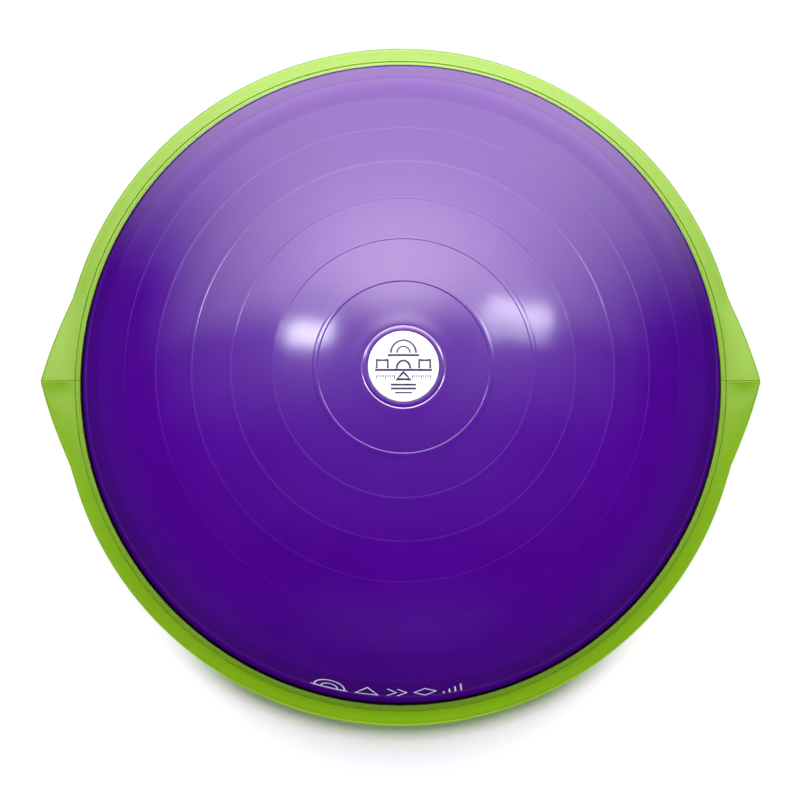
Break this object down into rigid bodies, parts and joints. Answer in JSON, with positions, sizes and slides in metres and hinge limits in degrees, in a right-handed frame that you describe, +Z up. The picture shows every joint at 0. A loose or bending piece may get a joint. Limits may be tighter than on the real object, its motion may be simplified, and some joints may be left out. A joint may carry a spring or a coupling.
{
  "type": "balance dome trainer",
  "caption": "Half-ball balance trainer: a ribbed inflated dome clamped to a rigid round platform with two hand grips, rubber feet underneath and a push-in inflation plug.",
  "frame": {"origin": "centre of the underside, on the floor plane under the rubber feet", "axes": "+Z up through the dome's crown, +X through the hand grips, the inflation valve on the -Y side"},
  "size_m": [0.6884, 0.6498, 0.225],
  "materials": {
    "dome_pvc": "glossy soft PVC with raised rings",
    "badge_print": "glossy printed disc",
    "rim_plastic": "fine-grained satin",
    "base_plastic": "grained satin",
    "deck_plastic": "moulded, not seen in use",
    "seal_rubber": "matt",
    "foot_rubber": "matt, moulded",
    "screw_steel": "zinc plated",
    "valve_plastic": "smooth",
    "plug_plastic": "smooth, flexible"
  },
  "bodies": {
    "platform": {"base_shell": "base_plastic", "rim_cover": "rim_plastic", "deck_plate": "deck_plastic", "seal_ring": "seal_rubber", "rim_screws": "screw_steel", "deck_screws": "screw_steel", "foot_1": "foot_rubber", "foot_2": "foot_rubber", "foot_3": "foot_rubber", "foot_4": "foot_rubber", "foot_5": "foot_rubber", "foot_6": "foot_rubber", "foot_7": "foot_rubber", "foot_8": "foot_rubber", "valve_body": "valve_plastic", "valve_gasket": "seal_rubber", "valve_nut": "valve_plastic"},
    "dome": {"dome_shell": "dome_pvc", "apex_badge": "badge_print"},
    "plug": {"valve_plug": "plug_plastic"}
  },
  "joints": [
    {"name": "dome_press", "type": "slide", "parent": "platform", "child": "dome", "axis": [0, 0, -1], "range_m": [0, 0.07], "stiffness_N_per_m": 15000, "springref_m": -0.003, "deforming": ["dome_shell"]},
    {"name": "plug_pull", "type": "slide", "parent": "platform", "child": "plug", "axis": [0, 0, -1], "range_m": [0, 0.045]}
  ]
}
